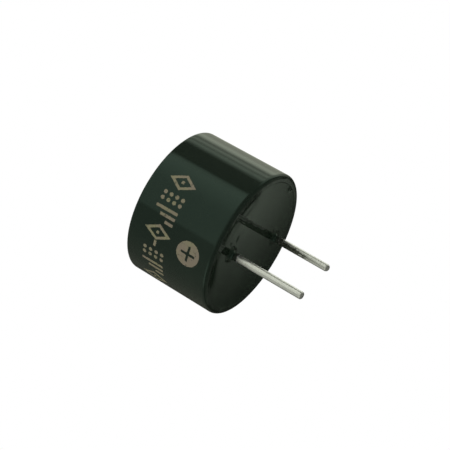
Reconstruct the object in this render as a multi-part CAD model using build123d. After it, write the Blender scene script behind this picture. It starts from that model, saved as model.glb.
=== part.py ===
from build123d import *
import os
from math import cos, radians, sin, sqrt

# A 12 mm self-driven sounder for through-hole boards. A moulded case holds a steel
# diaphragm over an iron core and its coil, a round board below them carries the drive
# circuit, and potting resin closes the base. Millimetres, +Z up towards the sound hole.
# The origin is the centre of the seating plane, where the rim of the case meets the host
# board. The pins stand on the X axis and point down, the long one at +X.

# ---- case, one moulding
case_diameter = 12.0
case_height = 7.5
case_wall = 0.6
case_top_wall = 0.7
base_edge_radius = 0.3
top_edge_chamfer = 0.08
mouth_chamfer = 0.12
sound_hole_diameter = 2.0
sound_hole_edge = 0.15
shelf_overlap = 0.25         # the shelf under the cavity bears on the support by this much
rib_count = 4
rib_width = 0.8
rib_height = 0.12            # crush ribs, which grip the yoke plate
first_rib_angle = 45.0

# ---- potting resin
resin_depth = 1.0            # from the seating plane to the board
resin_recess = 0.2           # its level surface lies this far inside the rim
wall_meniscus = 0.35         # width of its climb at the wall
pin_meniscus = 0.6           # width of its climb at a pin
pin_climb = 0.55             # the slim crest ends past the rim, inside the host's hole
crest_sink = 0.01            # the climb starts this far inside the level surface

# ---- pins
pin_diameter = 0.6
pin_pitch = 6.5
long_pin_reach = 6.4         # from the seating plane to the tip
short_pin_reach = 5.2
long_tip_bevel = 0.09
short_tip_radius = 0.27
pin_land = 0.2               # the plain pin goes this far into the crest
collar_step = 0.22           # the upset collar stands this far out of the pin
collar_height = 0.4
tang_side = 0.42             # square, through the board
tang_stand = 0.55            # above the board

# ---- circuit board
board_thickness = 0.6
board_clearance = 0.05
tang_hole_clearance = 0.03
component_clearance = 0.22   # between the transistor and the yoke plate

# ---- magnet system
yoke_thickness = 0.6
core_diameter = 2.6
spigot_diameter = 1.9        # the core is riveted into the yoke plate
core_edge = 0.08
air_gap = 0.18               # between the core and the diaphragm
magnet_width = 1.15
magnet_clearance = 0.03
magnet_edge = 0.1
coil_gap = 0.4               # between the coil and the magnet
coil_core_clearance = 0.02
coil_yoke_clearance = 0.03
coil_top_drop = 0.1          # below the top of the core
coil_edge = 0.15

# ---- diaphragm support
support_clearance = 0.03
support_wall = 0.55
support_rim_wall = 0.3
support_rim_height = 0.16    # round the edge of the diaphragm
ledge_width = 0.6            # the stretch of lip under the diaphragm
ledge_height = 0.35          # of the lip, between the magnet and the diaphragm

# ---- diaphragm
cavity_height = 1.5          # from its underside to the ceiling of the case
diaphragm_thickness = 0.06
diaphragm_clearance = 0.05
armature_diameter = 3.4
armature_thickness = 0.3
armature_edge = 0.06

# ---- coil leads: start, tap and end of the winding
wire_diameter = 0.12
lead_angles = (68.0, 90.0, 112.0)
lead_climb = 0.5             # up the side of the coil
lead_pad_offset = 0.55       # from the slot to the pad
lead_stand = 0.16            # height of the wire over the board
lead_slot_width = 0.34
lead_slot_margin = 8.0       # degrees of slot past the outer leads
lead_solder_radius = 0.36
lead_solder_top_radius = 0.2
lead_solder_height = 0.3

# ---- solder at the pins
pin_solder_radius = 0.72
pin_solder_top_radius = 0.36
pin_solder_height = 0.45

# ---- transistor, in a moulded package with three leads
transistor_x = 0.0
transistor_y = -2.1
transistor_length = 2.9
transistor_width = 1.3
transistor_height = 0.95
transistor_lift = 0.08       # under the body
transistor_taper = 7.0
leg_width = 0.4
leg_thickness = 0.12
leg_pitch = 0.95
leg_root = 0.15              # inside the body
leg_shoulder = 0.12          # outside the body, before the bend
leg_slope = 0.1
leg_reach = 0.5              # from the body to the toe

# ---- chip resistor
resistor_x = 0.0
resistor_y = 0.7
resistor_length = 1.6
resistor_width = 0.8
resistor_height = 0.4
cap_length = 0.3
cap_thickness = 0.04

# ---- solder at the toes of both parts
toe_length = 0.22
leg_toe_height = 0.1
cap_toe_height = 0.22

# ---- worked out from the values above: heights
board_bottom = resin_depth
board_top = board_bottom + board_thickness
chip_top = board_top + transistor_lift + transistor_height
yoke_bottom = chip_top + component_clearance
yoke_top = yoke_bottom + yoke_thickness
ceiling = case_height - case_top_wall
diaphragm_bottom = ceiling - cavity_height
diaphragm_top = diaphragm_bottom + diaphragm_thickness
ledge_bottom = diaphragm_bottom - ledge_height
support_top = diaphragm_bottom + support_rim_height
core_top = diaphragm_bottom - air_gap
coil_bottom = yoke_top + coil_yoke_clearance
coil_top = core_top - coil_top_drop
crest = resin_recess - pin_climb
land_top = crest + pin_land
collar_bottom = board_bottom - collar_height

# ---- and radii, from the case inwards
case_radius = case_diameter / 2
bore_radius = case_radius - case_wall
board_radius = bore_radius - board_clearance
yoke_radius = bore_radius - rib_height
support_radius = yoke_radius - support_clearance
cavity_radius = support_radius - shelf_overlap
rim_radius = support_radius - support_rim_wall
pocket_radius = support_radius - support_wall
diaphragm_radius = rim_radius - diaphragm_clearance
ledge_radius = diaphragm_radius - ledge_width
magnet_radius = pocket_radius - magnet_clearance
magnet_bore = magnet_radius - magnet_width
coil_radius = magnet_bore - coil_gap
core_radius = core_diameter / 2
coil_bore = core_radius + coil_core_clearance
pin_radius = pin_diameter / 2
pin_offset = pin_pitch / 2
collar_radius = pin_radius + collar_step
tang_hole_radius = tang_side / sqrt(2) + tang_hole_clearance
wire_radius = wire_diameter / 2
slot_radius = coil_radius + wire_radius
pad_radius = slot_radius + lead_pad_offset


def write(node, shape):
    export_step(shape, os.path.join("parts", node + ".step"))


def disc(radius, bottom, top):
    return Pos(0, 0, bottom) * extrude(Circle(radius), top - bottom)


def turned(*edges):
    """The solid that a closed outline of radius and height gives, turned about Z."""
    return revolve(Plane.XZ * make_face(list(edges)), Axis.Z)


def outwards(radius, angle, height):
    """A point at a distance from the axis, in one direction round it, at one height."""
    return (radius * cos(radians(angle)), radius * sin(radians(angle)), height)


def rounded(radius, *walls):
    """An edge radius, held under half of the thinnest wall that it rounds."""
    return min(radius, 0.45 * min(walls))


def make_case():
    blank = disc(case_radius, 0, case_height)
    blank = chamfer(blank.edges().group_by(Axis.Z)[-1], rounded(top_edge_chamfer, case_top_wall))
    blank = fillet(blank.edges().group_by(Axis.Z)[0], rounded(base_edge_radius, case_wall))
    mouth = disc(bore_radius, 0, board_top)
    mouth = mouth + turned(
        Polyline(
            (0, 0),
            (bore_radius + mouth_chamfer, 0),
            (bore_radius, mouth_chamfer),
            (0, mouth_chamfer),
            (0, 0),
        )
    )
    rib = Pos(bore_radius, 0) * Rectangle(4 * rib_height, rib_width)
    ribs = Sketch() + PolarLocations(0, rib_count, first_rib_angle) * rib
    ribbed_bore = Circle(bore_radius) - (ribs - Circle(yoke_radius))
    drive_space = Pos(0, 0, board_top) * extrude(ribbed_bore, support_top - board_top)
    cavity = disc(cavity_radius, support_top, ceiling)
    hole_radius = sound_hole_diameter / 2
    hole = disc(hole_radius, ceiling, case_height)
    case = blank - mouth - drive_space - cavity - hole
    round_edges = case.edges().filter_by(GeomType.CIRCLE)
    hole_rims = round_edges.filter_by(lambda edge: abs(edge.radius - hole_radius) < 1e-6)
    return chamfer(hole_rims, rounded(sound_hole_edge, case_top_wall))


def make_resin(pins):
    level = turned(
        Polyline((0, board_bottom), (0, resin_recess), (bore_radius - wall_meniscus, resin_recess)),
        TangentArc(
            (bore_radius - wall_meniscus, resin_recess),
            (bore_radius, mouth_chamfer),
            tangent=(1, 0),
        ),
        Polyline((bore_radius, mouth_chamfer), (bore_radius, board_bottom), (0, board_bottom)),
    )
    foot = resin_recess + crest_sink
    climb = turned(
        Polyline(
            (pin_radius, crest),
            (0, crest),
            (0, board_bottom),
            (pin_radius + pin_meniscus, board_bottom),
            (pin_radius + pin_meniscus, foot),
        ),
        Bezier(
            (pin_radius + pin_meniscus, foot),
            (pin_radius + pin_meniscus / 3, foot),
            (pin_radius, foot - pin_climb / 4),
            (pin_radius, crest),
        ),
    )
    resin = level + Pos(pin_offset, 0, 0) * climb + Pos(-pin_offset, 0, 0) * climb
    for pin in pins:
        resin = resin - pin
    return resin


def make_pin(reach, tip):
    """A round pin with an upset collar under the board and a square tang through it."""
    shank = turned(
        Polyline(
            (0, -reach),
            (pin_radius, -reach),
            (pin_radius, land_top),
            (collar_radius, collar_bottom),
            (collar_radius, board_bottom),
            (0, board_bottom),
            (0, -reach),
        )
    )
    shank = tip(shank.edges().group_by(Axis.Z)[0])
    tang_height = board_thickness + tang_stand
    tang = Pos(0, 0, board_bottom) * extrude(Rectangle(tang_side, tang_side), tang_height)
    return shank + tang


def make_long_pin():
    pin = make_pin(long_pin_reach, lambda edge: chamfer(edge, rounded(long_tip_bevel, pin_radius)))
    return Pos(pin_offset, 0, 0) * pin


def make_short_pin():
    pin = make_pin(short_pin_reach, lambda edge: fillet(edge, rounded(short_tip_radius, pin_diameter)))
    return Pos(-pin_offset, 0, 0) * pin


def make_board():
    tang_hole = disc(tang_hole_radius, board_bottom, board_top)
    board = disc(board_radius, board_bottom, board_top)
    return board - Pos(pin_offset, 0, 0) * tang_hole - Pos(-pin_offset, 0, 0) * tang_hole


def make_solder_cone(radius, top_radius, height):
    return turned(Polyline((0, 0), (radius, 0), (top_radius, height), (0, height), (0, 0)))


def make_pin_solder():
    tang = extrude(Rectangle(tang_side, tang_side), pin_solder_height)
    joint = make_solder_cone(pin_solder_radius, pin_solder_top_radius, pin_solder_height) - tang
    return [Pos(side * pin_offset, 0, board_top) * joint for side in (1, -1)]


def make_yoke_plate():
    plate = disc(yoke_radius, yoke_bottom, yoke_top)
    plate = plate - disc(spigot_diameter / 2, yoke_bottom, yoke_top)
    first = min(lead_angles) - lead_slot_margin
    sweep_angle = max(lead_angles) + lead_slot_margin - first
    slot = SlotArc(CenterArc((0, 0), slot_radius, first, sweep_angle), lead_slot_width)
    return plate - Pos(0, 0, yoke_bottom) * extrude(slot, yoke_thickness)


def make_pole_core():
    spigot = disc(spigot_diameter / 2, yoke_bottom, yoke_top)
    pole = disc(core_radius, yoke_top, core_top)
    pole = chamfer(pole.edges().group_by(Axis.Z)[-1], rounded(core_edge, core_top - yoke_top))
    return spigot + pole


def make_ring(outer, inner, bottom, top, edge):
    """A ring whose two outer edges are broken."""
    ring = Pos(0, 0, bottom) * extrude(Circle(outer) - Circle(inner), top - bottom)
    outer_edges = ring.edges().filter_by(GeomType.CIRCLE).sort_by(SortBy.RADIUS)[-2:]
    return chamfer(outer_edges, rounded(edge, top - bottom, outer - inner))


def make_magnet_ring():
    return make_ring(magnet_radius, magnet_bore, yoke_top, ledge_bottom, magnet_edge)


def make_coil():
    return make_ring(coil_radius, coil_bore, coil_bottom, coil_top, coil_edge)


def make_diaphragm_support():
    return turned(
        Polyline(
            (support_radius, yoke_top),
            (support_radius, support_top),
            (rim_radius, support_top),
            (rim_radius, diaphragm_bottom),
            (ledge_radius, diaphragm_bottom),
            (ledge_radius, ledge_bottom),
            (pocket_radius, ledge_bottom),
            (pocket_radius, yoke_top),
            (support_radius, yoke_top),
        )
    )


def make_diaphragm():
    return disc(diaphragm_radius, diaphragm_bottom, diaphragm_top)


def make_armature():
    plate = disc(armature_diameter / 2, diaphragm_top, diaphragm_top + armature_thickness)
    return chamfer(plate.edges().group_by(Axis.Z)[-1], rounded(armature_edge, armature_thickness))


def make_coil_lead(angle):
    """Down the side of the coil, through the slot in the yoke plate, and slanting to its pad."""
    low = board_top + lead_stand
    high = coil_bottom + min(lead_climb, coil_top - coil_bottom)
    start = outwards(slot_radius, angle, high)
    knee = outwards(slot_radius, angle, low + lead_pad_offset)
    end = outwards(pad_radius, angle, low)
    path = Polyline(start, knee, end)
    return sweep((path ^ 0) * Circle(wire_radius), path=path, transition=Transition.RIGHT)


def make_lead_solder(angle, lead):
    cone = make_solder_cone(lead_solder_radius, lead_solder_top_radius, lead_solder_height)
    return Pos(outwards(pad_radius, angle, board_top)) * cone - lead


def make_leg():
    """One gull-wing lead, drawn across the board and as wide as the lead."""
    body = transistor_width / 2
    middle = transistor_lift + transistor_height / 2
    shoulder = body + leg_shoulder
    toe = body + leg_reach
    outline = Polyline(
        (body - leg_root, middle - leg_thickness / 2),
        (shoulder, middle - leg_thickness / 2),
        (shoulder + leg_slope, 0),
        (toe, 0),
        (toe, leg_thickness),
        (shoulder + leg_slope + leg_thickness, leg_thickness),
        (shoulder + leg_thickness, middle + leg_thickness / 2),
        (body - leg_root, middle + leg_thickness / 2),
        (body - leg_root, middle - leg_thickness / 2),
    )
    return extrude(Plane.YZ * make_face(outline), leg_width / 2, both=True)


def make_legs():
    leg = make_leg()
    at = Pos(transistor_x, transistor_y, board_top)
    pair = [at * Pos(side * leg_pitch, 0, 0) * Rot(0, 0, 180) * leg for side in (1, -1)]
    return [at * leg] + pair


def make_transistor(legs):
    outline = Rectangle(transistor_length, transistor_width)
    half = extrude(outline, transistor_height / 2, taper=transistor_taper)
    body = half + mirror(half, Plane.XY)
    middle = board_top + transistor_lift + transistor_height / 2
    body = Pos(transistor_x, transistor_y, middle) * body
    for leg in legs:
        body = body - leg
    return body


def make_resistor():
    inner_length = resistor_length - 2 * cap_thickness
    chip = Box(inner_length, resistor_width - 2 * cap_thickness, resistor_height - 2 * cap_thickness)
    return Pos(resistor_x, resistor_y, board_top + resistor_height / 2) * chip


def make_resistor_caps(chip):
    cap = Box(cap_length, resistor_width, resistor_height)
    middle = board_top + resistor_height / 2
    reach = (resistor_length - cap_length) / 2
    return [Pos(resistor_x + side * reach, resistor_y, middle) * cap - chip for side in (1, -1)]


def make_toe(width, height):
    """A fillet of solder that falls away along +Y from a toe at the origin."""
    outline = Polyline((0, 0), (toe_length, 0), (0, height), (0, 0))
    return extrude(Plane.YZ * make_face(outline), width / 2, both=True)


def make_chip_solder():
    leg_toe = make_toe(leg_width, leg_toe_height)
    cap_toe = make_toe(resistor_width, cap_toe_height)
    at = Pos(transistor_x, transistor_y, board_top)
    toe = transistor_width / 2 + leg_reach
    joints = [at * Pos(0, toe, 0) * leg_toe]
    for side in (1, -1):
        joints.append(at * Pos(side * leg_pitch, -toe, 0) * Rot(0, 0, 180) * leg_toe)
        end = Pos(resistor_x + side * resistor_length / 2, resistor_y, board_top)
        joints.append(end * Rot(0, 0, -90 * side) * cap_toe)
    return joints


def main():
    os.makedirs("parts", exist_ok=True)
    long_pin = make_long_pin()
    short_pin = make_short_pin()
    leads = [make_coil_lead(angle) for angle in lead_angles]
    lead_solder = [make_lead_solder(angle, lead) for angle, lead in zip(lead_angles, leads)]
    legs = make_legs()
    chip = make_resistor()
    write("case", make_case())
    write("resin", make_resin([long_pin, short_pin]))
    write("long_pin", long_pin)
    write("short_pin", short_pin)
    write("circuit_board", make_board())
    write("pin_solder", Compound(children=make_pin_solder()))
    write("yoke_plate", make_yoke_plate())
    write("pole_core", make_pole_core())
    write("magnet_ring", make_magnet_ring())
    write("coil", make_coil())
    write("coil_leads", Compound(children=leads))
    write("lead_solder", Compound(children=lead_solder))
    write("diaphragm_support", make_diaphragm_support())
    write("diaphragm", make_diaphragm())
    write("armature", make_armature())
    write("transistor", make_transistor(legs))
    write("transistor_legs", Compound(children=legs))
    write("resistor", chip)
    write("resistor_caps", Compound(children=make_resistor_caps(chip)))
    write("chip_solder", Compound(children=make_chip_solder()))


main()
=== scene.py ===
import bmesh
import bpy
import numpy as np
from mathutils import Matrix, Vector


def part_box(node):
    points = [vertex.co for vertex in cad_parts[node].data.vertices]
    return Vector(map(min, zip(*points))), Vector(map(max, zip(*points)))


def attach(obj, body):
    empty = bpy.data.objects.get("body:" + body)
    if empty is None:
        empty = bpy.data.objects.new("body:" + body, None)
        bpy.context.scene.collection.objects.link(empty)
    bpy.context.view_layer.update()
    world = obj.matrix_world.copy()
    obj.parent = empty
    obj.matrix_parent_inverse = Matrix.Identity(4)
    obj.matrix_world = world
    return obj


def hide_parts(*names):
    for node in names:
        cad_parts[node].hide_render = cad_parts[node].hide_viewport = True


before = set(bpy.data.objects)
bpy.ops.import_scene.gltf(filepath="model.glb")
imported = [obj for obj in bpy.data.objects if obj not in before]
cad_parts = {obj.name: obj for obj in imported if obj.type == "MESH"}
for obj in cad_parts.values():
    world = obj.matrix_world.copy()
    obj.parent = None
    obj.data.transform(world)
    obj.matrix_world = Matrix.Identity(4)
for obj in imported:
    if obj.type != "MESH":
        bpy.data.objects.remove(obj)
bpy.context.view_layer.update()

print("frame loaded:", len(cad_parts), "nodes")

mm = 0.001
tiny = 1e-6                          # mm: closer than this counts as touching
bpy.context.scene.view_settings.view_transform = "Standard"


# The lowest and highest corners of a CAD node, in mm.
def span(node):
    low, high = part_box(node)
    return np.array(low) / mm, np.array(high) / mm


caseHigh = span("case")[1]
supportHigh = span("diaphragm_support")[1]
boardHigh = span("circuit_board")[1]
resinLow, resinHigh = span("resin")
longLow, longHigh = span("long_pin")
shortLow, shortHigh = span("short_pin")


# A closed outline of radius and height, as one arc for each corner (radius, height, corner radius).
# The arc touches both sides of its corner, and starts on a side at the corner radius times the
# tangent of half the turn.
def outline(corners, arcSteps=6):
    arcs = []
    for index, (radius, height, size) in enumerate(corners):
        point = np.array((radius, height), float)
        before = np.array(corners[index - 1][:2], float) - point
        after = np.array(corners[(index + 1) % len(corners)][:2], float) - point
        before /= np.linalg.norm(before)
        after /= np.linalg.norm(after)
        half = np.arccos(np.clip(before @ after, -1, 1)) / 2
        reach = size / np.tan(half)
        inwards = (before + after) / np.linalg.norm(before + after)
        middle = point + inwards * size / np.sin(half)
        start, stop = point + before * reach - middle, point + after * reach - middle
        first = np.arctan2(start[1], start[0])
        turn = np.arctan2(stop[1], stop[0]) - first
        turn = (turn + np.pi) % (2 * np.pi) - np.pi
        sweep = first + turn * np.linspace(0, 1, arcSteps + 1)
        arcs.append(middle + size * np.stack([np.cos(sweep), np.sin(sweep)], 1))
    return arcs


# A mesh from points in mm, as rows x columns x 3. Each cell of the grid is one face; wrapping joins
# the last row or column to the first, and keep says which faces stay.
def meshFromGrid(name, points, wrapRows=False, wrapColumns=True, keep=None, attribute=None):
    rows, columns = points.shape[:2]
    index = np.arange(rows * columns).reshape(rows, columns)
    if wrapRows:
        index = np.concatenate([index, index[:1]], 0)
    if wrapColumns:
        index = np.concatenate([index, index[:, :1]], 1)
    faces = np.stack([index[:-1, :-1], index[:-1, 1:], index[1:, 1:], index[1:, :-1]], -1)
    faces = faces[keep] if keep is not None else faces.reshape(-1, 4)
    mesh = bpy.data.meshes.new(name)
    mesh.vertices.add(rows * columns)
    mesh.vertices.foreach_set("co", (points.reshape(-1) * mm).astype(np.float32))
    mesh.loops.add(faces.size)
    mesh.loops.foreach_set("vertex_index", faces.reshape(-1).astype(np.int32))
    mesh.polygons.add(len(faces))
    mesh.polygons.foreach_set("loop_start", np.arange(0, faces.size, 4, dtype=np.int32))
    mesh.update(calc_edges=True)
    for key, values in (attribute or {}).items():
        layer = mesh.attributes.new(key, "FLOAT", "POINT")
        layer.data.foreach_set("value", values.reshape(-1).astype(np.float32))
    return mesh


# Joins the meshes, merges their doubles, turns the faces outwards and hands the piece to the frame.
def addPiece(name, meshes, material, node):
    shell = bmesh.new()
    for mesh in meshes:
        shell.from_mesh(mesh)
    bmesh.ops.remove_doubles(shell, verts=shell.verts, dist=1e-8)
    bmesh.ops.dissolve_degenerate(shell, dist=1e-9, edges=shell.edges)
    bmesh.ops.recalc_face_normals(shell, faces=shell.faces)
    mesh = meshes[0]
    shell.to_mesh(mesh)
    shell.free()
    mesh.polygons.foreach_set("use_smooth", np.ones(len(mesh.polygons), bool))
    mesh.update()
    piece = bpy.data.objects.new(name, mesh)
    bpy.context.scene.collection.objects.link(piece)
    mesh.materials.append(material)
    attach(piece, "root")
    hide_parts(node)
    print("made", name, len(mesh.polygons), "faces")


# A node tree, and the few moves that the finishes, the world and the floor need.
class Graph:
    def __init__(self, tree, coordinates):
        self.nodes, self.links = tree.nodes, tree.links
        self.place = self.add("TexCoord").outputs[coordinates]

    def add(self, kind):
        return self.nodes.new("ShaderNode" + kind)

    # Links an output to the socket, or writes a number or a colour into it.
    def feed(self, socket, item):
        if isinstance(item, bpy.types.NodeSocket):
            self.links.new(item, socket)
        elif socket.type == "RGBA":
            socket.default_value = (*item, 1.0)
        else:
            socket.default_value = item

    # The X, Y and Z of a vector.
    def split(self, vector):
        node = self.add("SeparateXYZ")
        self.feed(node.inputs[0], vector)
        return node.outputs[0], node.outputs[1], node.outputs[2]

    def attribute(self, name):
        node = self.add("Attribute")
        node.attribute_name = name
        return node.outputs["Fac"]

    # The place, scaled along each axis.
    def stretched(self, scale):
        node = self.add("Mapping")
        self.feed(node.inputs["Vector"], self.place)
        self.feed(node.inputs["Scale"], scale)
        return node.outputs["Vector"]

    def noise(self, perMetre, detail=3.0, roughness=0.5, vector=None):
        node = self.add("TexNoise")
        self.feed(node.inputs["Vector"], vector or self.place)
        self.feed(node.inputs["Scale"], perMetre)
        self.feed(node.inputs["Detail"], detail)
        self.feed(node.inputs["Roughness"], roughness)
        return node.outputs["Fac"]

    # Low to high becomes toLow to toHigh, and what lies beyond is clamped.
    def remap(self, item, low, high, toLow=0.0, toHigh=1.0, smooth=False):
        node = self.add("MapRange")
        node.interpolation_type = "SMOOTHSTEP" if smooth else "LINEAR"
        self.feed(node.inputs["Value"], item)
        self.feed(node.inputs["From Min"], low)
        self.feed(node.inputs["From Max"], high)
        self.feed(node.inputs["To Min"], toLow)
        self.feed(node.inputs["To Max"], toHigh)
        return node.outputs["Result"]

    def math(self, operation, *items):
        node = self.add("Math")
        node.operation = operation
        for socket, item in zip(node.inputs, items):
            self.feed(socket, item)
        return node.outputs["Value"]

    def vectors(self, operation, *items):
        node = self.add("VectorMath")
        node.operation = operation
        for socket, item in zip(node.inputs, items):
            self.feed(socket, item)
        return node.outputs["Vector"]

    # A vector or a colour times a number.
    def scaled(self, vector, factor):
        node = self.add("VectorMath")
        node.operation = "SCALE"
        self.feed(node.inputs[0], vector)
        self.feed(node.inputs["Scale"], factor)
        return node.outputs["Vector"]

    def blend(self, factor, first, second):
        node = self.add("Mix")
        node.data_type = "RGBA"
        self.feed(node.inputs[0], factor)
        self.feed(node.inputs[6], first)
        self.feed(node.inputs[7], second)
        return node.outputs[2]

    # A colour ramp through stops of a place from 0 to 1 and a colour.
    def ramp(self, item, stops):
        node = self.add("ValToRGB")
        elements = node.color_ramp.elements
        elements[0].position, elements[1].position = stops[0][0], stops[-1][0]
        for at, colour in stops[1:-1]:
            elements.new(at)
        for element, (at, colour) in zip(elements, stops):
            element.position = at
            element.color = (*colour, 1.0)
        self.feed(node.inputs["Fac"], item)
        return node.outputs["Color"]

    # A number read from a line through points; unit keeps the ramp's own values between 0 and 1.
    def curve(self, item, points, unit):
        first, last = points[0][0], points[-1][0]
        stops = [((at - first) / (last - first), (value / unit,) * 3) for at, value in points]
        return self.math("MULTIPLY", self.ramp(self.remap(item, first, last), stops), unit)

    def bump(self, height, distance, strength=1.0, below=None):
        node = self.add("Bump")
        self.feed(node.inputs["Height"], height)
        self.feed(node.inputs["Distance"], distance)
        self.feed(node.inputs["Strength"], strength)
        if below:
            self.feed(node.inputs["Normal"], below)
        return node.outputs["Normal"]

    def mixShaders(self, factor, first, second):
        node = self.add("MixShader")
        self.feed(node.inputs[0], factor)
        self.feed(node.inputs[1], first)
        self.feed(node.inputs[2], second)
        return node.outputs[0]


# A material on the standard shader.
class Recipe(Graph):
    def __init__(self, name):
        self.material = bpy.data.materials.new(name)
        self.material.use_nodes = True
        super().__init__(self.material.node_tree, "Object")
        self.shader = self.nodes["Principled BSDF"]

    def set(self, socket, item):
        self.feed(self.shader.inputs[socket], item)


usual = (0.3, 0.7)                   # most of a noise's values lie between these

glossSettings = {                    # shared by the case and the resin
    "IOR": 1.5,
    "Specular IOR Level": 0.36,
    "Specular Tint": (0.64, 1.0, 0.97),   # seen square on; it fades at grazing angles
}

plasticSettings = {                  # scales are features per metre, bumps are heights in metres
    "dark": (0.0070, 0.0108, 0.0072),
    "light": (0.0090, 0.0130, 0.0088),
    "cloud": 260.0,
    "ink": (0.175, 0.142, 0.100),
    "inkAged": (0.185, 0.170, 0.095),
    "inkCloud": 900.0,
    "inkRagged": 14000.0,
    "inkRaggedReach": 0.022,         # mm
    "inkFade": 0.015,                # half the width of the ink's edge, in mm
    "inkWorn": 5200.0,
    "inkWornFrom": (0.28, 0.42),
    "inkLeast": 0.45,                # what is left of it where it is worn
    "inkRoughness": 0.42,
    "inkThickness": 0.000006,
    "scuffs": 1500.0,
    "scuffStretch": (1.0, 1.0, 0.12),
    "roughness": (0.045, 0.085),
    "baseHeight": (0.1, 0.25),       # mm: polished below the first, as worn above the second
    "basePolish": 0.2,
    "ripple": 420.0,
    "rippleHeight": 0.00002,
    "scuffHeight": 0.000004,
}


# Glossy moulding, black with a green cast, with fine wear and the tan ink of its print. The ink
# covers what lies inside its fields, whose edges noise makes ragged.
def blackPlastic():
    s = plasticSettings
    look = Recipe("blackPlastic")
    plastic = look.blend(look.remap(look.noise(s["cloud"], 4.0), *usual), s["dark"], s["light"])
    reach = s["inkRaggedReach"]
    ragged = look.remap(look.noise(s["inkRagged"], 2.0), *usual, -reach, reach)
    edge = look.math("ADD", look.attribute("ink"), ragged)
    covered = look.remap(edge, -s["inkFade"], s["inkFade"], 1.0, 0.0, smooth=True)
    thin = look.remap(look.noise(s["inkWorn"], 3.0), *s["inkWornFrom"], s["inkLeast"], 1.0)
    covered = look.math("MULTIPLY", covered, thin)
    tan = look.blend(look.remap(look.noise(s["inkCloud"], 2.0), 0.35, 0.65), s["ink"], s["inkAged"])
    look.set("Base Color", look.blend(covered, plastic, tan))
    scuffs = look.noise(s["scuffs"], 5.0, 0.7, look.stretched(s["scuffStretch"]))
    low, high = s["baseHeight"]
    worn = look.remap(look.split(look.place)[2], low * mm, high * mm, s["basePolish"], 1.0)
    polish = look.math("MULTIPLY", worn, look.remap(scuffs, 0.3, 0.8, *s["roughness"]))
    inkRough = look.math("MULTIPLY", covered, s["inkRoughness"])
    look.set("Roughness", look.math("MAXIMUM", polish, inkRough))
    ripple = look.bump(look.noise(s["ripple"], 2.0), s["rippleHeight"], 0.35)
    grain = look.bump(scuffs, s["scuffHeight"], 0.25, ripple)
    look.set("Normal", look.bump(covered, s["inkThickness"], 0.6, grain))
    for socket, item in glossSettings.items():
        look.set(socket, item)
    return look.material


pottingSettings = {
    "dark": (0.0056, 0.0100, 0.0060),
    "light": (0.0082, 0.0132, 0.0080),
    "dust": (0.05, 0.052, 0.045),
    "cloud": 330.0,
    "specks": 6200.0,
    "specksFrom": (0.70, 0.76),
    "smudges": 800.0,
    "roughness": (0.008, 0.024),
    "ripple": 1300.0,
    "rippleHeight": 0.000002,
}


# Cured resin, as glossy as glass, with specks of dust and a very slight ripple.
def pottingResin():
    s = pottingSettings
    look = Recipe("pottingResin")
    body = look.blend(look.remap(look.noise(s["cloud"], 3.0), *usual), s["dark"], s["light"])
    specks = look.remap(look.noise(s["specks"], 2.0, 0.6), *s["specksFrom"])
    look.set("Base Color", look.blend(look.math("MULTIPLY", specks, 0.5), body, s["dust"]))
    smudges = look.noise(s["smudges"], 4.0, 0.6)
    look.set("Roughness", look.remap(smudges, 0.3, 0.75, *s["roughness"]))
    look.set("Normal", look.bump(look.noise(s["ripple"], 3.0, 0.55), s["rippleHeight"], 0.1))
    for socket, item in glossSettings.items():
        look.set(socket, item)
    return look.material


tinSettings = {
    "dull": (0.88, 0.88, 0.94),
    "bright": (0.96, 0.96, 1.0),
    "grey": (0.62, 0.62, 0.62),
    "line": (0.68, 0.68, 0.67),
    # the two dark tones of the painted reflection laid on one side of each pin
    "paintedReflectionDark": (0.10, 0.11, 0.095),
    "paintedReflectionLight": (0.34, 0.35, 0.33),
    "film": (0.012, 0.017, 0.011),
    "mottle": 2100.0,
    "grain": 9500.0,
    "drawn": 5200.0,
    "creep": 1700.0,
    "creepReach": 0.0010,            # m: how unevenly the film ends
    "filmHeight": (-0.00022, -0.00010),   # m: from where it begins to where it is full
    "jagged": 4200.0,
    "paintedReflectionFrom": (0.42, 0.56),
    "roughness": (0.26, 0.42),
    "lineHeight": 0.000010,
    "grainHeight": 0.000012,
}


# Tin-plated wire: satin and grainy, drawn along its length, with a film of resin at the root and,
# where the mesh says so, a painted dark reflection along one side and round the root.
def tinnedPin():
    s = tinSettings
    look = Recipe("tinnedPin")
    drawn = look.noise(s["drawn"], 4.0, 0.6, look.stretched((1.0, 1.0, 0.06)))
    grain = look.noise(s["grain"], 3.0, 0.6)
    mottle = look.noise(s["mottle"], 4.0, 0.65)
    metal = look.blend(look.remap(mottle, 0.35, 0.68), s["dull"], s["bright"])
    metal = look.blend(look.remap(grain, 0.55, 0.72), metal, s["grey"])
    metal = look.blend(look.remap(drawn, 0.52, 0.72), metal, s["line"])
    creep = look.math("MULTIPLY", look.noise(s["creep"], 4.0, 0.6), s["creepReach"])
    height = look.math("ADD", look.split(look.place)[2], creep)
    film = look.remap(height, *s["filmHeight"], smooth=True)
    # Where the mesh's values say so, a dark tone is painted along one side of the pin and round its
    # root: a painted dark reflection.
    ragged = look.noise(s["jagged"], 4.0, 0.7, look.stretched((1.0, 1.0, 0.3)))
    paintedReflection = look.math("ADD", look.attribute("paintedReflection"), look.remap(ragged, *usual, -0.5, 0.5))
    paintedReflectionMask = look.remap(paintedReflection, *s["paintedReflectionFrom"], smooth=True)
    paintedReflectionTone = look.blend(look.remap(grain, 0.42, 0.66), s["paintedReflectionDark"], s["paintedReflectionLight"])
    metal = look.blend(paintedReflectionMask, metal, paintedReflectionTone)
    look.set("Base Color", look.blend(film, metal, s["film"]))
    look.set("Metallic", look.remap(film, 0.0, 1.0, 1.0, 0.0))
    look.set("Roughness", look.remap(mottle, 0.3, 0.75, *s["roughness"]))
    lines = look.bump(drawn, s["lineHeight"], 0.5)
    look.set("Normal", look.bump(grain, s["grainHeight"], 0.5, lines))
    return look.material


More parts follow.
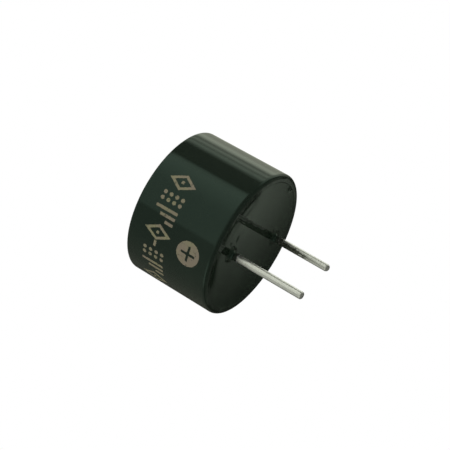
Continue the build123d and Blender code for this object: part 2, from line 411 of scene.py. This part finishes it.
# Clouded between two tones, with a finer grain.
def metalFinish(name, dark, light, roughness, perMetre, metallic=1.0):
    look = Recipe(name)
    cloud = look.noise(perMetre, 4.0, 0.6)
    look.set("Base Color", look.blend(look.remap(cloud, *usual), dark, light))
    look.set("Metallic", metallic)
    look.set("Roughness", look.remap(cloud, 0.25, 0.75, roughness - 0.06, roughness + 0.1))
    look.set("Normal", look.bump(look.noise(perMetre * 4, 3.0), 0.000006, 0.4))
    return look.material


# A matt plastic, clouded between two tones.
def dullMoulding(name, dark, light, roughness):
    look = Recipe(name)
    cloud = look.noise(1400.0, 4.0, 0.6)
    look.set("Base Color", look.blend(look.remap(cloud, *usual), dark, light))
    look.set("Roughness", look.remap(cloud, *usual, roughness - 0.08, roughness + 0.08))
    look.set("Normal", look.bump(look.noise(9000.0), 0.000005, 0.4))
    return look.material


# Enamelled winding: fine turns, stacked along Z.
def turnedWire():
    look = Recipe("turnedWire")
    wave = look.add("TexWave")
    wave.bands_direction = "Z"
    look.feed(wave.inputs["Vector"], look.place)
    look.feed(wave.inputs["Scale"], 5200.0)
    look.feed(wave.inputs["Distortion"], 0.6)
    turns = wave.outputs["Fac"]
    look.set("Base Color", look.blend(turns, (0.16, 0.045, 0.015), (0.62, 0.25, 0.10)))
    look.set("Metallic", 0.8)
    look.set("Roughness", 0.3)
    look.set("Normal", look.bump(turns, 0.00003, 0.8))
    return look.material


# Glass-fibre board under a green mask.
def laminate():
    look = Recipe("laminate")
    weave = look.add("TexChecker")
    look.feed(weave.inputs["Vector"], look.place)
    look.feed(weave.inputs["Scale"], 2600.0)
    look.feed(weave.inputs["Color1"], (0.045, 0.135, 0.05))
    look.feed(weave.inputs["Color2"], (0.06, 0.16, 0.06))
    cloud = look.remap(look.noise(900.0), *usual)
    look.set("Base Color", look.blend(cloud, weave.outputs["Color"], (0.05, 0.12, 0.045)))
    look.set("Roughness", 0.4)
    look.set("Normal", look.bump(weave.outputs["Fac"], 0.000008, 0.5))
    return look.material


casePlastic = blackPlastic()
resinBody = pottingResin()
pinMetal = tinnedPin()
solder = metalFinish("solder", (0.46, 0.47, 0.48), (0.68, 0.69, 0.70), 0.28, 2500.0)
softIron = metalFinish("softIron", (0.34, 0.34, 0.35), (0.50, 0.50, 0.51), 0.38, 1800.0)
ferrite = metalFinish("ferrite", (0.045, 0.045, 0.05), (0.085, 0.085, 0.092), 0.6, 3000.0, 0.3)
springSteel = metalFinish("springSteel", (0.50, 0.50, 0.50), (0.66, 0.66, 0.66), 0.3, 900.0)
legTin = metalFinish("legTin", (0.5, 0.5, 0.48), (0.66, 0.66, 0.63), 0.34, 3000.0)
enamel = metalFinish("enamelledWire", (0.42, 0.15, 0.06), (0.62, 0.25, 0.10), 0.3, 2000.0, 0.8)
supportPlastic = dullMoulding("supportPlastic", (0.05, 0.05, 0.05), (0.075, 0.075, 0.075), 0.5)
packagePlastic = dullMoulding("packagePlastic", (0.03, 0.03, 0.03), (0.05, 0.05, 0.05), 0.55)
chipGlaze = dullMoulding("chipGlaze", (0.04, 0.04, 0.045), (0.065, 0.065, 0.07), 0.35)
innerMaterials = {
    "circuit_board": laminate(),
    "pin_solder": solder,
    "lead_solder": solder,
    "chip_solder": solder,
    "resistor_caps": solder,
    "yoke_plate": softIron,
    "pole_core": softIron,
    "armature": softIron,
    "magnet_ring": ferrite,
    "coil": turnedWire(),
    "coil_leads": enamel,
    "diaphragm_support": supportPlastic,
    "diaphragm": springSteel,
    "transistor": packagePlastic,
    "transistor_legs": legTin,
    "resistor": chipGlaze,
}
for node, material in innerMaterials.items():
    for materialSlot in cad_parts[node].material_slots:
        materialSlot.link = "OBJECT"
        materialSlot.material = material
print("materials made")


canSettings = {                      # lengths in mm, angles in degrees
    "radius": caseHigh[0],
    "height": caseHigh[2],
    "bore": resinHigh[0],            # the resin fills it from wall to wall
    "topWall": 0.7,
    "shelf": supportHigh[2],         # bears on the support ring
    "cavityRadius": supportHigh[0] - 0.25,
    "baseRound": 0.3,
    "topRound": 0.1,
    "mouthChamfer": 0.015,
    "rimRound": 0.015,
    "holeRadius": 1.0,
    "holeChamfer": 0.15,
    "smallRound": 0.012,             # every other edge of the moulding
    "ribs": 4,
    "firstRib": 45.0,
    "ribStart": boardHigh[2],
    "ribHeight": 0.12,
    "ribHalfAngle": 4.2,
    "ribFlank": 0.6,
    "ribEnd": 0.02,                  # height over which a rib's lower end fades
    "sideRows": 8,                   # under the print, and over it
    "boreRows": ([5.3, 4.4, 3.0], [1.2, 0.5]),   # above the ribs' lower ends, and under them
    "runRows": (0.04, 0.2, 0.5, 0.8, 0.96),      # along every other straight run
    "printStep": 0.45,               # between columns where the ink is
    "plainStep": 1.8,
    "printBeyond": 7.0,              # how far the fine columns go past the last sign
    "printRow": 0.05,                # between rows where the ink is
    "printMargin": 0.1,
}

printSettings = {                    # lengths in mm, angles in degrees
    "rowMiddle": 4.97,
    "signHeight": 1.95,
    "stroke": 0.23,
    "dashHeight": 0.22,
    "levels": (1.0, 0.7, 0.38),      # heights of the three strokes, as shares of the sign's
    "discAngle": -4.4,
    "discHeight": 2.07,
    "discRadius": 1.0,
    "plusReach": 0.62,
    "plusWidth": 0.2,
    "signs": [                       # angle, shape, width
        (-46.5, "lozenge", 1.05),
        (-32.6, "levels", 1.15),
        (-19.4, "dots", 0.95),
        (-10.4, "dash", 0.5),
        (-1.2, "lozenge", 1.05),
        (12.4, "levels", 1.15),
        (25.2, "dots", 0.95),
        (38.8, "lozenge", 1.1),
    ],
}


# Distance to a rectangle: outside it the length of the overshoot, inside it minus the gap to the
# nearest side.
def boxDistance(x, y, halfX, halfY):
    overX, overY = np.abs(x) - halfX, np.abs(y) - halfY
    outside = np.hypot(np.maximum(overX, 0), np.maximum(overY, 0))
    return outside + np.minimum(np.maximum(overX, overY), 0)


# Distance to a lozenge, less than zero inside it: the distance to the straight line that joins the
# two tips of the quarter that the point is in.
def diamondDistance(x, y, halfX, halfY):
    return (np.abs(x) * halfY + np.abs(y) * halfX - halfX * halfY) / np.hypot(halfX, halfY)


# Distance to one sign, whose middle is at 0, 0: the least of the distances to its strokes or dots.
def signDistance(shape, x, y, width):
    s = printSettings
    half, stroke = s["signHeight"] / 2, s["stroke"] / 2
    if shape == "dash":
        return boxDistance(x, y, width / 2, s["dashHeight"] / 2)
    if shape == "dots":              # two columns of four
        toColumn = np.abs(x) - width / 4
        toRow = np.abs(np.abs(y) - width * 0.56) - width * 0.28
        return np.hypot(toColumn, toRow) - width / 6
    if shape == "levels":
        places = (width / 2 - stroke, 0.0, stroke - width / 2)
        return np.minimum.reduce([
            boxDistance(x - place, y + half * (1 - share), stroke, half * share)
            for place, share in zip(places, s["levels"])
        ])
    frameDistance = np.abs(diamondDistance(x, y, width / 2, half)) - stroke * 0.9
    return np.minimum(frameDistance, boxDistance(x, y, stroke, stroke))


# Distance to the nearest inked field, in mm, below zero where there is ink: the least of the
# distances to the signs and to a disc less its plus.
def inkDistance(angle, height):
    s = printSettings
    radius, y = canSettings["radius"], height - s["rowMiddle"]
    across = np.radians(angle) * radius
    found = np.minimum.reduce([
        signDistance(shape, across - np.radians(place) * radius, y, width)
        for place, shape, width in s["signs"]
    ])
    x = across - np.radians(s["discAngle"]) * radius
    y = height - s["discHeight"]
    disc = np.hypot(x, y) - s["discRadius"]
    plus = np.minimum(
        boxDistance(x, y, s["plusReach"], s["plusWidth"] / 2),
        boxDistance(x, y, s["plusWidth"] / 2, s["plusReach"]),
    )
    return np.minimum(found, np.maximum(disc, -plus))


# The outline is turned about Z. Inside the bore, ribs stand in from the wall, at full height up to
# their half angle and falling to nothing over the flank.
def makeCan():
    s, p = canSettings, printSettings
    hole, edge, small = s["holeRadius"], s["holeChamfer"], s["smallRound"]
    ceiling = s["height"] - s["topWall"]
    corners = [
        (s["radius"], 0, s["baseRound"]),
        (s["radius"], s["height"], s["topRound"]),
        (hole + edge, s["height"], small),
        (hole, s["height"] - edge, small),
        (hole, ceiling + edge, small),
        (hole + edge, ceiling, small),
        (s["cavityRadius"], ceiling, small),
        (s["cavityRadius"], s["shelf"], small),
        (s["bore"], s["shelf"], small),
        (s["bore"], s["mouthChamfer"], small),
        (s["bore"] + s["mouthChamfer"], 0, s["rimRound"]),
    ]
    arcs = outline(corners)
    printFrom = p["discHeight"] - p["discRadius"] - s["printMargin"]
    printTo = p["rowMiddle"] + p["signHeight"] / 2 + s["printMargin"]
    rows = []
    for index, arc in enumerate(arcs):
        rows.append(arc)
        here, there = arc[-1], arcs[(index + 1) % len(arcs)][0]
        if index == 0:               # up the outside
            heights = np.concatenate([
                np.linspace(here[1], printFrom, s["sideRows"])[1:-1],
                np.arange(printFrom, printTo, s["printRow"]),
                np.linspace(printTo, there[1], s["sideRows"])[:-1],
            ])
            rows.append(np.stack([np.full_like(heights, s["radius"]), heights], 1))
        elif corners[index][:2] == (s["bore"], s["shelf"]):   # down the bore
            over, under = s["boreRows"]
            heights = np.array([*over, s["ribStart"] + s["ribEnd"], s["ribStart"], *under])
            rows.append(np.stack([np.full_like(heights, s["bore"]), heights], 1))
        else:
            rows.append(here + (there - here) * np.array(s["runRows"])[:, None])
    profile = np.concatenate(rows)
    edgeAngle = max(abs(sign[0]) for sign in p["signs"]) + s["printBeyond"]
    angles = np.concatenate([
        np.arange(-edgeAngle, edgeAngle, s["printStep"]),
        np.arange(edgeAngle, 360 - edgeAngle - s["plainStep"] / 2, s["plainStep"]),
    ])
    radius, height = profile[:, :1], profile[:, 1:]
    spacing = 360 / s["ribs"]
    fromRib = np.abs((angles[None] - s["firstRib"] + spacing / 2) % spacing - spacing / 2)
    rib = np.clip((s["ribHalfAngle"] + s["ribFlank"] - fromRib) / s["ribFlank"], 0, 1)
    onBore = (np.abs(radius - s["bore"]) < tiny) & (height > s["ribStart"] + tiny)
    radius = radius - s["ribHeight"] * rib * onBore
    around = np.radians(angles)[None]
    points = np.stack([radius * np.cos(around), radius * np.sin(around), height + 0 * around], -1)
    onSide = np.abs(radius - s["radius"]) < tiny
    signed = (angles + 180) % 360 - 180
    ink = np.where(onSide, inkDistance(signed[None], height), 1.0)
    mesh = meshFromGrid("can", points, wrapRows=True, attribute={"ink": ink})
    addPiece("can", [mesh], casePlastic, "case")


pinSettings = {                      # lengths in mm, angles in degrees
    "radius": 0.3,
    "collarRadius": (longHigh[0] - longLow[0]) / 2,
    "collarBottom": resinHigh[2] - 0.4,
    "land": resinLow[2] + 0.2,       # the shank ends here, inside the resin
    "tangSide": 0.42,
    "bevel": 0.01,                   # at the collar's edges
    "tangEnd": 0.97,                 # what is left of the tang's width at its end
    "tipLength": 0.35,               # from the end to the shank's first row
    "shankRows": 40,
    "columns": 96,
    "domeReach": 0.27,
    "domeRows": 12,
    "domeLength": 0.31,
    "bevelTip": [                    # radius and height over the end
        (0.0, 0.0), (0.10, 0.0), (0.19, 0.004), (0.215, 0.014), (0.255, 0.05),
        (0.285, 0.086), (0.297, 0.125), (0.3, 0.18), (0.3, 0.25),
    ],
    # A painted dark reflection lies on one side, down to its end, where it fades. At the root it
    # goes all round, and down to the heel it is thicker.
    "paintedReflectionSpread": 0.7,
    "paintedReflectionPast": 0.2,                # how much of it reaches a quarter turn away
    "rootFade": 0.15,
    "rootAmount": 1.1,
    "heelFade": 0.3,
    "heelAmount": 1.6,
    "longPaintedReflection": {
        "side": -65.0, "end": 1.0, "fade": 0.6, "amount": 0.5, "root": 0.45, "heel": 0.0,
    },
    "shortPaintedReflection": {
        "side": -45.0, "end": 3.9, "fade": 1.6, "amount": 0.84, "root": 0.95, "heel": 1.75,
    },
}


# A flat end with a rounded bevel, through given points.
def bevelTip(low):
    return np.array(pinSettings["bevelTip"]) + np.array([0.0, low])


# A quarter circle swept from the end to the side.
def domeTip(low):
    side, reach = pinSettings["radius"], pinSettings["domeReach"]
    sweep = np.linspace(0, np.pi / 2, pinSettings["domeRows"])
    dome = np.stack([side - reach + reach * np.sin(sweep), low + reach - reach * np.cos(sweep)], 1)
    return np.concatenate([[(0.0, low)], dome, [(side, low + pinSettings["domeLength"])]])


# How much of the painted reflection is left at a height, from 0 under its lower end to 1 over the
# fade.
def upTo(height, end, fade):
    return np.clip((height + end) / fade, 0, 1)


# A profile turned about the pin's own axis; above the collar its circle becomes a square, whose
# radius is half the side over the larger of the cosine and the sine. The painted dark reflection
# goes with the cosine of the angle from its side.
def makePin(name, node, low, high, tip, paintedReflectionShape):
    s = pinSettings
    centre = (low + high) / 2
    back, bevel = resinSettings["back"], s["bevel"]
    angles = np.radians(np.arange(s["columns"]) * 360 / s["columns"])
    shank = np.linspace(low[2] + s["tipLength"], s["land"], s["shankRows"])
    turned = np.concatenate([
        tip,
        np.stack([np.full_like(shank, s["radius"]), shank], 1),
        [(s["collarRadius"] - bevel, s["collarBottom"] - bevel)],
        [(s["collarRadius"], s["collarBottom"]), (s["collarRadius"], back - bevel)],
        [(s["collarRadius"] - bevel, back)],
    ])
    tangHeights = np.array([back, back + bevel, high[2] - bevel, high[2]])
    tangShares = np.array([1.0, 1.0, 1.0, s["tangEnd"]])[:, None]
    square = s["tangSide"] / 2 / np.maximum(np.abs(np.cos(angles)), np.abs(np.sin(angles)))
    radius = np.concatenate([
        turned[:, :1] * np.ones_like(angles)[None],
        tangShares * square[None],
        np.zeros((1, len(angles))),
    ])
    height = np.concatenate([turned[:, 1], tangHeights, [high[2]]])[:, None]
    x = centre[0] + radius * np.cos(angles)
    y = centre[1] + radius * np.sin(angles)
    points = np.stack([x, y, height + 0 * radius], -1)
    # Where the painted dark reflection lies: strongest on its side of the pin, all round at the
    # root, thicker down to the heel.
    towards = np.cos(angles - np.radians(paintedReflectionShape["side"]))[None]
    onSide = np.clip(towards / s["paintedReflectionSpread"] + s["paintedReflectionPast"], 0, 1)
    paintedReflection = np.maximum.reduce([
        onSide * upTo(height, paintedReflectionShape["end"], paintedReflectionShape["fade"]) * paintedReflectionShape["amount"],
        np.ones_like(onSide) * upTo(height, paintedReflectionShape["root"], s["rootFade"]) * s["rootAmount"],
        onSide * upTo(height, paintedReflectionShape["heel"], s["heelFade"]) * s["heelAmount"],
    ])
    mesh = meshFromGrid(name, points, attribute={"paintedReflection": paintedReflection})
    addPiece(name, [mesh], pinMetal, node)


resinSettings = {                    # lengths in mm
    "level": 0.028,
    "back": resinHigh[2],
    "wallWidth": 0.035,
    "wallEdge": 0.016,               # where the climb ends at the wall
    "moundRadius": 0.72,
    "crest": resinLow[2],
    "pinCentre": (longLow[0] + longHigh[0]) / 2,
    "calmWall": (0.1, 0.8),          # no waves this near the wall, full waves this much further in
    "calmPin": (0.5, 0.7),           # and from a pin's middle
    "pitSpread": 1.5,                # a pit's radius holds this many widths of its bell curve
    "waves": [                       # length, direction in degrees, height, phase
        (3.7, 20.0, 0.0002, 0.4),
        (2.3, 115.0, 0.0001, 1.9),
        (5.2, 70.0, 0.0003, 2.6),
    ],
    "pits": [                        # x, y, radius, depth
        (-2.95, 4.40, 0.40, 0.006),
        (3.09, 1.24, 0.10, 0.012),
        (3.90, 1.00, 0.09, 0.012),
        (-2.1, -2.6, 0.08, 0.005),
        (0.6, -3.4, 0.06, 0.004),
        (-2.75, 0.72, 0.10, -0.014),
        (-2.95, 0.95, 0.07, -0.010),
        (-2.45, 0.62, 0.07, -0.010),
    ],
    "wallColumns": 300,
    "lineColumns": 110,
    "moundRings": 26,
    "outerRings": 53,
}


# The level, less a circular climb at the wall, plus sines for the slow waves and bell curves for
# the pits. The waves fade out towards the wall and the pins by the smooth step 3 t^2 - 2 t^3.
def resinSurface(x, y):
    s = resinSettings
    fromCentre = np.hypot(x, y)
    out = np.clip(fromCentre - (canSettings["bore"] - s["wallWidth"]), 0, s["wallWidth"])
    rise = s["level"] - s["wallEdge"]
    bend = (s["wallWidth"] ** 2 + rise**2) / (2 * rise)
    z = s["level"] - (bend - np.sqrt(bend**2 - out**2))
    still, fade = s["calmWall"]
    calm = np.clip((canSettings["bore"] - still - fromCentre) / fade, 0, 1)
    still, fade = s["calmPin"]
    for side in (1, -1):
        fromPin = np.hypot(x - side * s["pinCentre"], y)
        calm = calm * np.clip((fromPin - still) / fade, 0, 1)
    calm = calm * calm * (3 - 2 * calm)
    for length, direction, size, phase in s["waves"]:
        along = x * np.cos(np.radians(direction)) + y * np.sin(np.radians(direction))
        z = z + calm * size * np.sin(2 * np.pi * along / length + phase)
    for pitX, pitY, radius, depth in s["pits"]:
        fromPit = (x - pitX) ** 2 + (y - pitY) ** 2
        z = z + depth * np.exp(-fromPit / (radius / s["pitSpread"]) ** 2)
    return z


# A cubic curve from the first value to the last, as t goes from 0 to 1.
def cubic(t, a, b, c, d):
    return a * (1 - t) ** 3 + 3 * b * t * (1 - t) ** 2 + 3 * c * t**2 * (1 - t) + d * t**3


# Half of the filling, as rings round one pin that grow from its circle to the half's own edge: the
# wall of the bore, or the line midway between the pins. The mound at the pin is a cubic curve,
# level at its foot and upright at the pin. The other half has its plan turned by half a turn.
def resinHalf(side):
    s, p = resinSettings, pinSettings
    centre, bore = s["pinCentre"], canSettings["bore"]
    corner = np.arctan2(bore, -centre)
    angles = np.concatenate([
        np.linspace(-corner, corner, s["wallColumns"], endpoint=False),
        np.linspace(corner, 2 * np.pi - corner, s["lineColumns"], endpoint=False),
    ])
    onWall = np.arange(len(angles)) < s["wallColumns"]
    cosine, sine = np.cos(angles), np.sin(angles)
    toWall = -centre * cosine + np.sqrt(bore**2 - (centre * sine) ** 2)
    toLine = -centre / np.minimum(cosine, -1e-9)
    farthest = np.where(onWall, toWall, toLine)
    foot, mound, level, crest = p["radius"], s["moundRadius"], s["level"], s["crest"]
    climb = level - crest
    t = np.linspace(1, 0, s["moundRings"])[:, None]
    ringRadius = cubic(t, mound, foot + (mound - foot) / 3, foot, foot)
    ringHeight = cubic(t, level, level, level - climb / 4, crest)
    share = np.linspace(0, 1, s["outerRings"] + 1)[1:, None]
    share = share * (2 - share)      # closer together towards the wall
    ones = np.ones((1, len(angles)))
    rho = np.concatenate([
        farthest[None],
        p["collarRadius"] * ones,
        p["collarRadius"] * ones,
        foot * ones,
        ringRadius * ones,
        mound + (farthest[None] - mound) * share,
    ])
    x, y = side * (centre + rho * cosine), side * rho * sine
    surface = resinSurface(x, y)
    z = surface.copy()
    z[0], z[1], z[2], z[3] = s["back"], s["back"], p["collarBottom"], p["land"]
    rings = slice(4, 4 + len(t))
    fade = np.linspace(0, 1, len(t))[:, None] ** 4
    z[rings] = ringHeight + fade * (surface[rings] - level)
    keep = np.ones(z.shape, bool)
    keep[-1] = onWall                # the side wall: none along the line between the halves
    return meshFromGrid("resinHalf", np.stack([x, y, z], -1), wrapRows=True, keep=keep)


makeCan()
addPiece("pottingFill", [resinHalf(1), resinHalf(-1)], resinBody, "resin")
longTip, shortTip = bevelTip(longLow[2]), domeTip(shortLow[2])
makePin("longPinWire", "long_pin", longLow, longHigh, longTip, pinSettings["longPaintedReflection"])
makePin("shortPinWire", "short_pin", shortLow, shortHigh, shortTip, pinSettings["shortPaintedReflection"])


cameraSettings = {
    "place": (77.984, 35.994, -33.625),   # mm
    "azimuth": 204.57,               # of its line of sight, in degrees
    "elevation": 23.03,
    "roll": 60.08,
    "lens": 96.9,                    # mm
    "sensor": 36.0,
}


# Forward comes from azimuth and elevation; up is the upright turned about forward by the roll.
def setCamera():
    s = cameraSettings
    azimuth, elevation, roll = (np.radians(s[key]) for key in ("azimuth", "elevation", "roll"))
    flat = np.cos(elevation)
    forward = Vector((flat * np.cos(azimuth), flat * np.sin(azimuth), np.sin(elevation)))
    level = forward.cross(Vector((0, 0, 1))).normalized()
    upright = level.cross(forward)
    up = upright * np.cos(roll) + level * np.sin(roll)
    right = forward.cross(up)
    data = bpy.data.cameras.new("camera")
    data.lens = s["lens"]
    data.sensor_width = s["sensor"]
    data.clip_start = 0.005
    data.clip_end = 20.0
    camera = bpy.data.objects.new("camera", data)
    bpy.context.scene.collection.objects.link(camera)
    turned = Matrix((right, up, -forward)).transposed().to_4x4()
    camera.matrix_world = Matrix.Translation(Vector(s["place"]) * mm) @ turned
    bpy.context.scene.camera = camera


reflections = {                      # what gloss and metal see: azimuth in degrees, brightness
    "above": [
        (0, 0.50), (46, 0.53), (60, 0.66), (78, 0.79), (86, 0.67), (90, 0.080), (117, 0.068),
        (121, 0.33), (126, 0.78), (129, 0.73), (132, 0.45), (138, 0.83), (144.5, 0.36), (152, 0.95),
        (157, 0.98), (166, 0.54), (176, 0.36), (200, 0.28), (206, 0.18), (212, 0.052), (228, 0.052),
        (245, 0.097), (270, 0.15), (300, 0.21), (350, 0.24), (356, 0.24), (360, 0.50),
    ],
    "level": [                       # near the horizon: soft bands, dark behind the base's far edge
        (0, 0.30), (30, 0.34), (60, 0.22), (75, 0.10), (105, 0.10), (120, 0.55), (150, 0.62),
        (165, 0.30), (185, 0.03), (225, 0.03), (245, 0.12), (285, 0.16), (300, 0.50),
        (325, 0.55), (340, 0.25), (360, 0.30),
    ],
    "below": [
        (0, 0.0178), (100, 0.0267), (140, 0.0444), (190, 0.0711), (199, 0.1422), (203.3, 0.1467),
        (204.8, 0.1084), (206, 0.0800), (208, 0.0462), (213, 0.0178), (240, 0.0133), (360, 0.0178),
    ],
    "toAbove": (0.18, 0.32),         # heights over which the level bands give way to those above
    "toLevel": (-0.33, -0.26),       # and those below to the level ones
    "card": [                        # how the part below varies with the height of the direction
        (-0.405, 0.04), (-0.395, 1.9), (-0.385, 2.0), (-0.3743, 1.73), (-0.3668, 1.29),
        (-0.3589, 0.85), (-0.3507, 0.45), (-0.335, 0.15), (-0.30, 0.10),
    ],
    "cardEdge": [                    # the lower edge of the card: azimuth and height
        (200, -0.3800), (202.7, -0.3802), (203.5, -0.3821), (204.4, -0.3841), (205.4, -0.3850),
        (206.2, -0.3840), (206.7, -0.3806), (207.2, -0.3782), (207.6, -0.3764), (208.0, -0.3780),
        (208.5, -0.3860), (212, -0.3900),
    ],
    "cardFade": (0.0022, 0.04),      # width of the edge's fade, and what is left under it
    "under": (-0.41, -0.45, 0.16),   # pale again from the first height to the second, and how pale
    "gain": 1.39,
    "cast": (0.96, 1.0, 0.80),
    "lowCast": (0.93, 1.0, 0.82),
    "softLight": 0.62,               # the level that dull surfaces get from all round
}


# White to the camera, bands of light to gloss and metal, even and soft to the rest. The bands go by
# azimuth, the arctangent of Y over X as a share of a turn, and give way to each other by height.
def setWorld():
    s = reflections
    world = bpy.data.worlds.new("studio")
    bpy.context.scene.world = world
    world.use_nodes = True
    world.node_tree.nodes.clear()
    sky = Graph(world.node_tree, "Generated")
    x, y, height = sky.split(sky.place)
    azimuth = sky.math("FRACT", sky.math("DIVIDE", sky.math("ARCTAN2", y, x), 2 * np.pi))
    bands = {}
    for name, cast in (("above", s["cast"]), ("level", s["cast"]), ("below", s["lowCast"])):
        gain = np.array(cast) * s["gain"]
        bands[name] = sky.ramp(azimuth, [(at / 360, level * gain) for at, level in s[name]])
    card = sky.curve(height, s["card"], unit=2.0)
    edge = sky.curve(azimuth, [(at / 360, level) for at, level in s["cardEdge"]], unit=-1.0)
    width, least = s["cardFade"]
    shown = sky.remap(sky.math("SUBTRACT", height, edge), 0.0, width, least, 1.0)
    cardLight = sky.scaled(bands["below"], sky.math("MULTIPLY", card, shown))
    first, second, most = s["under"]
    pale = sky.scaled(s["cast"], sky.remap(height, first, second, 0.0, most))
    low = sky.vectors("ADD", cardLight, pale)
    low = sky.blend(sky.remap(height, *s["toLevel"]), low, bands["level"])
    seenByGloss = sky.blend(sky.remap(height, *s["toAbove"]), low, bands["above"])
    path = sky.add("LightPath").outputs
    light = sky.blend(path["Is Glossy Ray"], (s["softLight"],) * 3, seenByGloss)
    straight = sky.math("MAXIMUM", path["Is Camera Ray"], path["Is Transmission Ray"])
    background = sky.add("Background")
    sky.feed(background.inputs["Color"], sky.blend(straight, light, (1.0, 1.0, 1.0)))
    sky.feed(sky.add("OutputWorld").inputs["Surface"], background.outputs[0])


lampSettings = {
    "key": {"towards": (-0.3, 0.75, 0.6), "distance": 0.3, "size": 0.2, "power": 0.55},
    "fill": {"towards": (0.8, -0.35, 0.5), "distance": 0.35, "size": 0.25, "power": 0.35},
}


# Round area lamps, each facing the middle of the part. Gloss doesn't see them.
def setLamps():
    for name, s in lampSettings.items():
        data = bpy.data.lights.new(name, "AREA")
        data.shape = "DISK"
        data.size = s["size"]
        data.energy = s["power"]
        lamp = bpy.data.objects.new(name, data)
        lamp.visible_glossy = False
        bpy.context.scene.collection.objects.link(lamp)
        towards = Vector(s["towards"]).normalized()
        lamp.location = towards * s["distance"]
        lamp.rotation_euler = towards.to_track_quat("Z", "Y").to_euler()


floorSettings = {                    # lengths in metres
    "radius": 1.5,
    "rings": (0.0, 0.05, 0.2, 0.6, 1.0),
    "columns": 128,
    "colour": (0.80, 0.80, 0.79),
    "fadeFrom": 0.10,
    "fadeTo": 0.45,
}


# A pale disc under the pins' tips. It is open from below, and fades to the white of the backdrop.
def makeFloor():
    s = floorSettings
    angles = np.linspace(0, 2 * np.pi, s["columns"], endpoint=False)[None]
    radius = np.array(s["rings"])[:, None] * s["radius"] / mm
    level = longLow[2] + 0 * radius * angles
    points = np.stack([radius * np.cos(angles), -radius * np.sin(angles), level], -1)
    mesh = meshFromGrid("floor", points)
    floor = bpy.data.objects.new("floor", mesh)
    bpy.context.scene.collection.objects.link(floor)
    floor.visible_glossy = False
    material = bpy.data.materials.new("paleFloor")
    material.use_nodes = True
    material.node_tree.nodes.clear()
    look = Graph(material.node_tree, "Object")
    length = look.add("VectorMath")
    length.operation = "LENGTH"
    look.feed(length.inputs[0], look.place)
    far = look.remap(length.outputs["Value"], s["fadeFrom"], s["fadeTo"], smooth=True)
    toCamera = look.math("MULTIPLY", look.add("LightPath").outputs["Is Camera Ray"], far)
    dull = look.add("BsdfDiffuse")
    look.feed(dull.inputs["Color"], s["colour"])
    glow, clear = look.add("Emission"), look.add("BsdfTransparent")
    pale = look.mixShaders(toCamera, dull.outputs[0], glow.outputs[0])
    fromBelow = look.add("NewGeometry").outputs["Backfacing"]
    oneSided = look.mixShaders(fromBelow, pale, clear.outputs[0])
    look.feed(look.add("OutputMaterial").inputs["Surface"], oneSided)
    mesh.materials.append(material)


setCamera()
setWorld()
setLamps()
makeFloor()
print("studio set")
